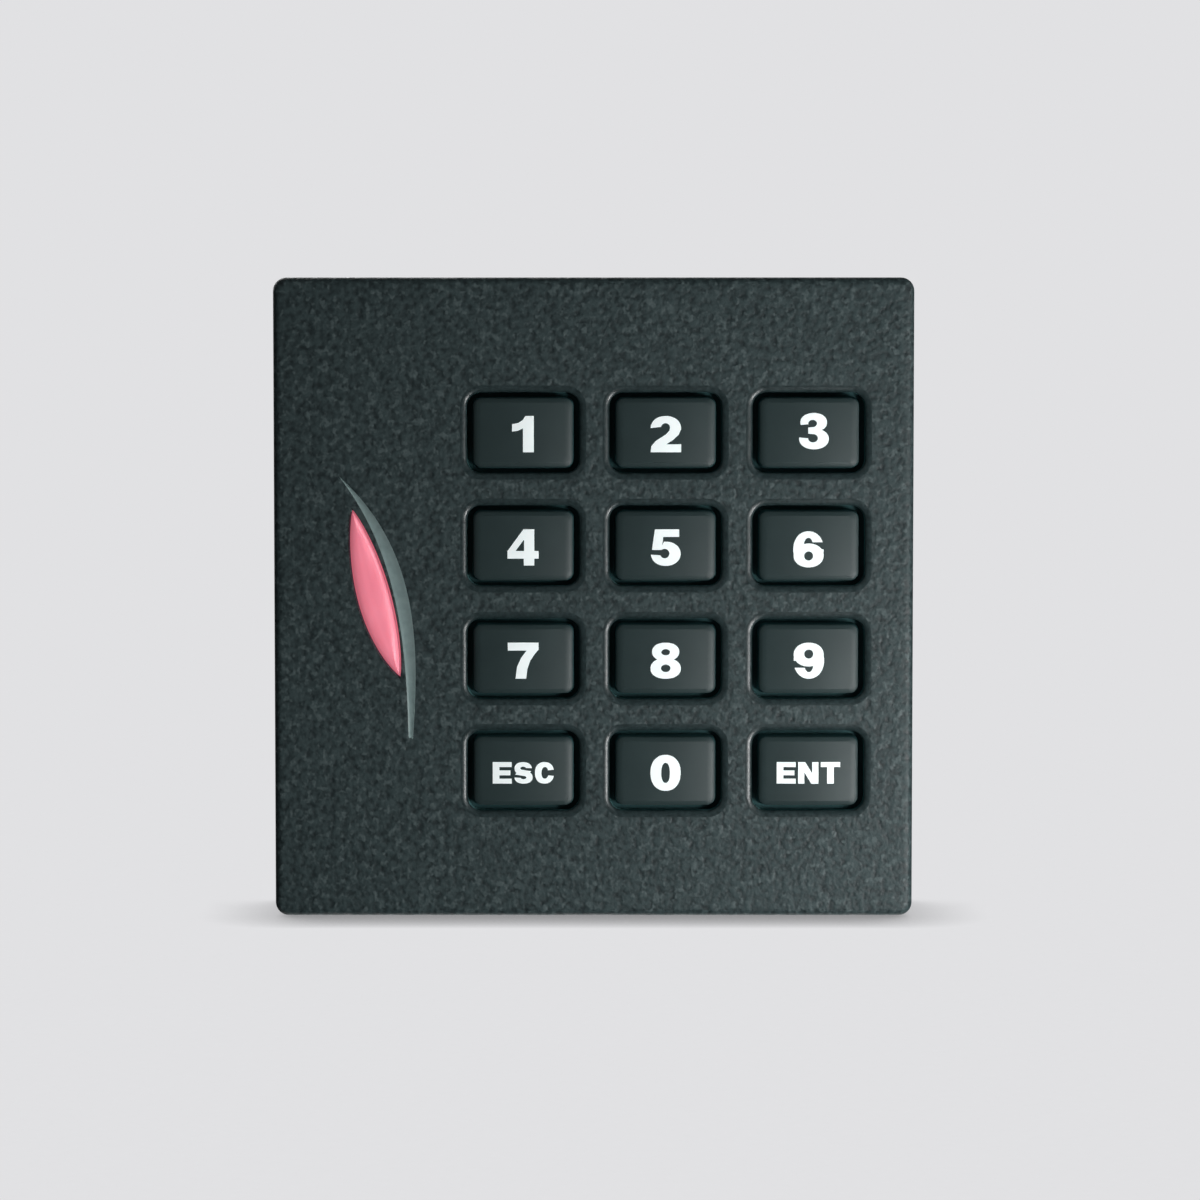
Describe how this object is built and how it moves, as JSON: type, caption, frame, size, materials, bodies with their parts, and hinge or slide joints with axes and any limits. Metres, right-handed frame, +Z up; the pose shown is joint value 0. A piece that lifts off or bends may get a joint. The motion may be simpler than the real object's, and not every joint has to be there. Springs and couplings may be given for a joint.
{
  "type": "keypad access reader",
  "caption": "Square wall-mounted access reader with a rubber number keypad, a red leaf-shaped status lens, a wall plate and a rear cable outlet.",
  "frame": {"origin": "centre of the wall plate's rear face, on the wall", "axes": "+Z up, +Y into the wall, the keypad faces -Y, +X to the right of a person who faces the keypad"},
  "size_m": [0.086, 0.019, 0.086],
  "materials": {
    "cover_plastic": "spark-eroded texture, dark grey-green ABS",
    "back_plastic": "fine matte, black ABS",
    "lens_plastic": "polished translucent red polycarbonate",
    "key_rubber": "satin, coated silicone",
    "mat_rubber": "matte silicone",
    "carbon": "matte carbon-loaded silicone",
    "steel": "zinc-plated",
    "board_green": "solder resist on glass-epoxy",
    "copper": "enamelled copper wire",
    "chip_black": "moulded epoxy",
    "capacitor_yellow": "moulded epoxy",
    "led_red": "clear resin in a white cup",
    "led_green": "clear resin in a white cup",
    "buzzer_black": "satin moulded plastic",
    "connector_ivory": "natural nylon",
    "grommet_rubber": "matte rubber"
  },
  "bodies": {
    "housing": {"front_cover": "cover_plastic", "status_lens": "lens_plastic", "rear_cover": "back_plastic", "cable_grommet": "grommet_rubber", "wall_plate": "back_plastic", "case_screw_1": "steel", "case_screw_2": "steel", "case_screw_3": "steel", "case_screw_4": "steel", "board_screw_1": "steel", "board_screw_2": "steel", "board_screw_3": "steel", "board_screw_4": "steel", "lock_screw": "steel", "keypad_mat": "mat_rubber", "main_board": "board_green", "antenna_coil": "copper", "microcontroller": "chip_black", "reader_chip": "chip_black", "crystal": "steel", "voltage_regulator": "chip_black", "filter_capacitor_1": "capacitor_yellow", "filter_capacitor_2": "capacitor_yellow", "cable_connector": "connector_ivory", "status_led_red": "led_red", "status_led_green": "led_green", "buzzer": "buzzer_black"},
    "button_1": {"key_1": "key_rubber", "contact_pill_1": "carbon"},
    "button_2": {"key_2": "key_rubber", "contact_pill_2": "carbon"},
    "button_3": {"key_3": "key_rubber", "contact_pill_3": "carbon"},
    "button_4": {"key_4": "key_rubber", "contact_pill_4": "carbon"},
    "button_5": {"key_5": "key_rubber", "contact_pill_5": "carbon"},
    "button_6": {"key_6": "key_rubber", "contact_pill_6": "carbon"},
    "button_7": {"key_7": "key_rubber", "contact_pill_7": "carbon"},
    "button_8": {"key_8": "key_rubber", "contact_pill_8": "carbon"},
    "button_9": {"key_9": "key_rubber", "contact_pill_9": "carbon"},
    "button_esc": {"key_esc": "key_rubber", "contact_pill_esc": "carbon"},
    "button_0": {"key_0": "key_rubber", "contact_pill_0": "carbon"},
    "button_ent": {"key_ent": "key_rubber", "contact_pill_ent": "carbon"}
  },
  "joints": [
    {"name": "press_1", "type": "slide", "parent": "housing", "child": "button_1", "axis": [0, 1, 0], "range_m": [0, 0.001], "stiffness_N_per_m": 900, "springref_m": -0.0004},
    {"name": "press_2", "type": "slide", "parent": "housing", "child": "button_2", "axis": [0, 1, 0], "range_m": [0, 0.001], "stiffness_N_per_m": 900, "springref_m": -0.0004},
    {"name": "press_3", "type": "slide", "parent": "housing", "child": "button_3", "axis": [0, 1, 0], "range_m": [0, 0.001], "stiffness_N_per_m": 900, "springref_m": -0.0004},
    {"name": "press_4", "type": "slide", "parent": "housing", "child": "button_4", "axis": [0, 1, 0], "range_m": [0, 0.001], "stiffness_N_per_m": 900, "springref_m": -0.0004},
    {"name": "press_5", "type": "slide", "parent": "housing", "child": "button_5", "axis": [0, 1, 0], "range_m": [0, 0.001], "stiffness_N_per_m": 900, "springref_m": -0.0004},
    {"name": "press_6", "type": "slide", "parent": "housing", "child": "button_6", "axis": [0, 1, 0], "range_m": [0, 0.001], "stiffness_N_per_m": 900, "springref_m": -0.0004},
    {"name": "press_7", "type": "slide", "parent": "housing", "child": "button_7", "axis": [0, 1, 0], "range_m": [0, 0.001], "stiffness_N_per_m": 900, "springref_m": -0.0004},
    {"name": "press_8", "type": "slide", "parent": "housing", "child": "button_8", "axis": [0, 1, 0], "range_m": [0, 0.001], "stiffness_N_per_m": 900, "springref_m": -0.0004},
    {"name": "press_9", "type": "slide", "parent": "housing", "child": "button_9", "axis": [0, 1, 0], "range_m": [0, 0.001], "stiffness_N_per_m": 900, "springref_m": -0.0004},
    {"name": "press_esc", "type": "slide", "parent": "housing", "child": "button_esc", "axis": [0, 1, 0], "range_m": [0, 0.001], "stiffness_N_per_m": 900, "springref_m": -0.0004},
    {"name": "press_0", "type": "slide", "parent": "housing", "child": "button_0", "axis": [0, 1, 0], "range_m": [0, 0.001], "stiffness_N_per_m": 900, "springref_m": -0.0004},
    {"name": "press_ent", "type": "slide", "parent": "housing", "child": "button_ent", "axis": [0, 1, 0], "range_m": [0, 0.001], "stiffness_N_per_m": 900, "springref_m": -0.0004}
  ]
}
